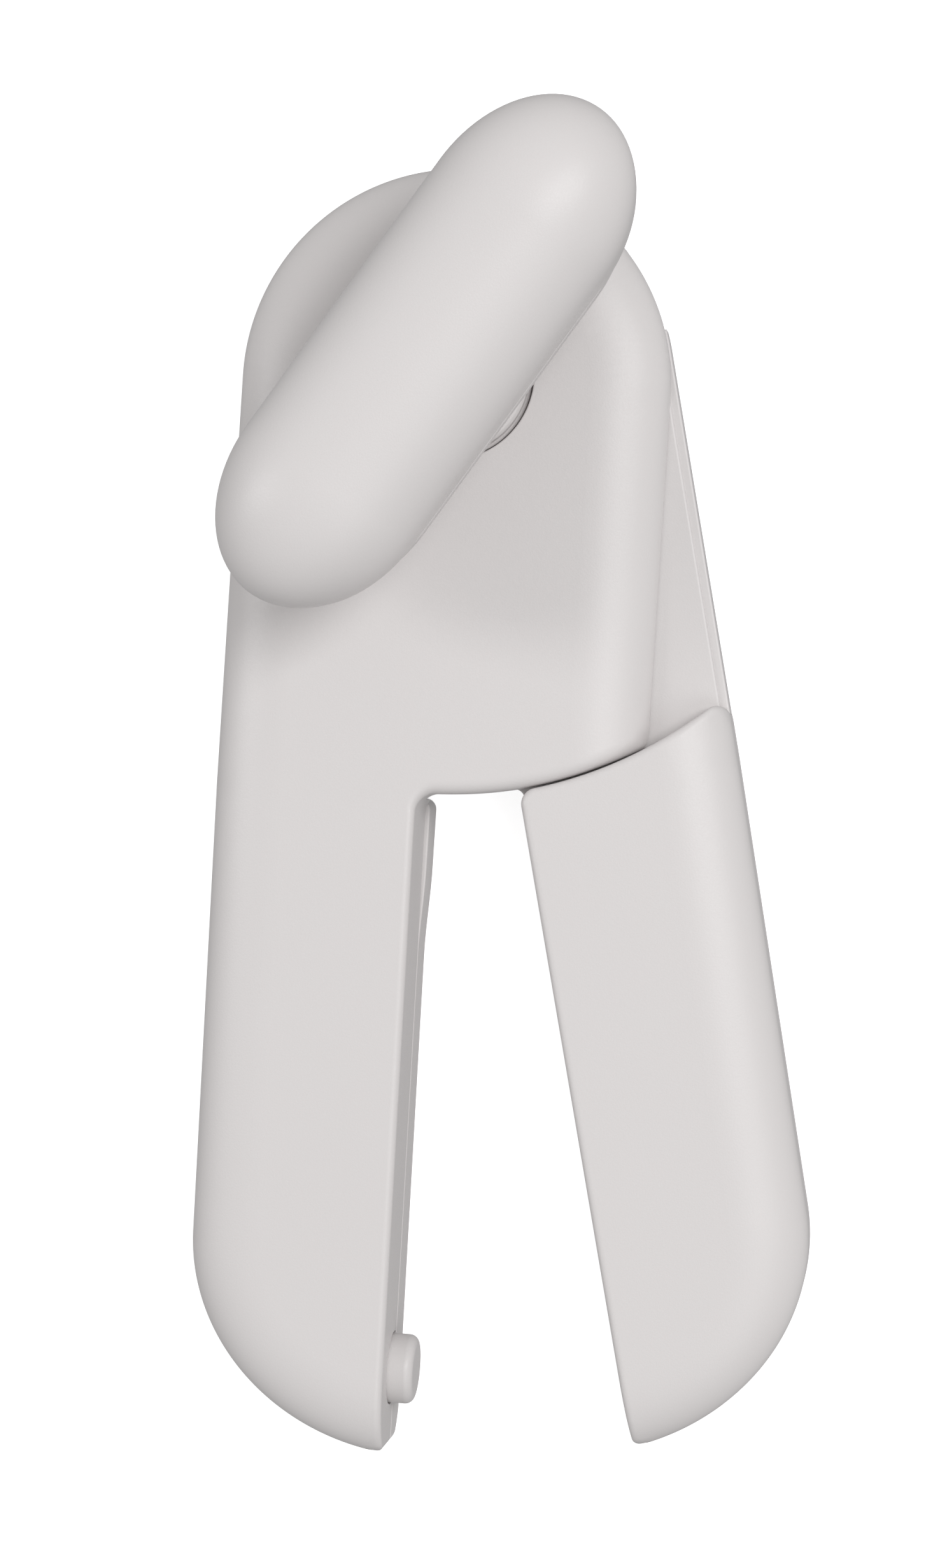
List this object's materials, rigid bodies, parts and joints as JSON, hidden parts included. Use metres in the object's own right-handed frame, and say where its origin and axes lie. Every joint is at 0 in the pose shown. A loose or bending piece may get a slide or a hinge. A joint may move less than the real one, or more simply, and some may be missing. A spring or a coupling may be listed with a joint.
{
  "type": "hand can opener",
  "caption": "Hand-turned can opener with a round head, two rounded grips that hinge apart, a long turning knob above the head, and a toothed drive wheel facing a sliding cutter wheel.",
  "frame": {"origin": "middle of the base of the whole object's box, on the plane of the grips' backs, with the handles open as pictured", "axes": "+Y from the grips' ends towards the head, +Z from the grips' backs towards the knob, +X from the left grip towards the right one"},
  "size_m": [0.0898, 0.1906, 0.0547],
  "materials": {
    "white_plastic": "satin, fine spark-eroded grain",
    "steel": "stamped, satin",
    "hard_steel": "hardened and ground",
    "zinc_plate": "zinc plated",
    "nylon": "natural nylon"
  },
  "bodies": {
    "body": {"main_cover": "white_plastic", "left_grip_back": "white_plastic", "frame_plate": "steel", "pivot_boss": "zinc_plate", "retaining_ring": "hard_steel", "shaft_bush": "nylon", "rim_guide": "steel", "guide_rivet": "steel", "guide_rail_left": "steel", "guide_rail_right": "steel", "grip_screw_left_upper": "zinc_plate", "grip_screw_left_lower": "zinc_plate", "frame_screw_upper": "zinc_plate", "frame_screw_middle": "zinc_plate", "frame_screw_lower": "zinc_plate", "stud_spring": "steel"},
    "handle": {"right_handle_front": "white_plastic", "right_grip_back": "white_plastic", "grip_screw_right_upper": "zinc_plate", "grip_screw_right_lower": "zinc_plate"},
    "knob": {"knob_shell": "white_plastic", "knob_base": "white_plastic", "hub_collar": "white_plastic", "drive_shaft": "steel", "knob_nut": "zinc_plate", "thrust_washer": "steel", "drive_wheel": "hard_steel", "wheel_nut": "zinc_plate"},
    "carriage": {"cutter_carriage": "steel", "follower_pin": "hard_steel", "cutter_axle": "steel", "cutter_clip": "hard_steel"},
    "cutter": {"cutter_wheel": "hard_steel"},
    "stud": {"catch_stud": "white_plastic"}
  },
  "joints": [
    {"name": "handle_hinge", "type": "hinge", "parent": "body", "child": "handle", "pos_m": [-0.01368, 0.05985, 0], "axis": [0, 0, 1], "range_deg": [-13, 17]},
    {"name": "knob_spin", "type": "hinge", "parent": "body", "child": "knob", "pos_m": [-0.01368, 0.05985, 0], "axis": [0, 0, 1], "continuous": true},
    {"name": "carriage_slide", "type": "slide", "parent": "body", "child": "carriage", "axis": [0, -1, 0], "range_m": [-0.00176, 0.0023]},
    {"name": "cutter_spin", "type": "hinge", "parent": "carriage", "child": "cutter", "pos_m": [-0.01368, 0.04491, 0], "axis": [0, 0, 1], "continuous": true},
    {"name": "stud_press", "type": "slide", "parent": "body", "child": "stud", "axis": [-1, 0, 0], "range_m": [0, 0.0032], "stiffness_N_per_m": 300, "springref_m": -0.002, "deforming": ["stud_spring"]}
  ],
  "couplings": [
    {"joint": "carriage_slide", "follows": "handle_hinge", "m_per_rad": 0.0076394}
  ]
}
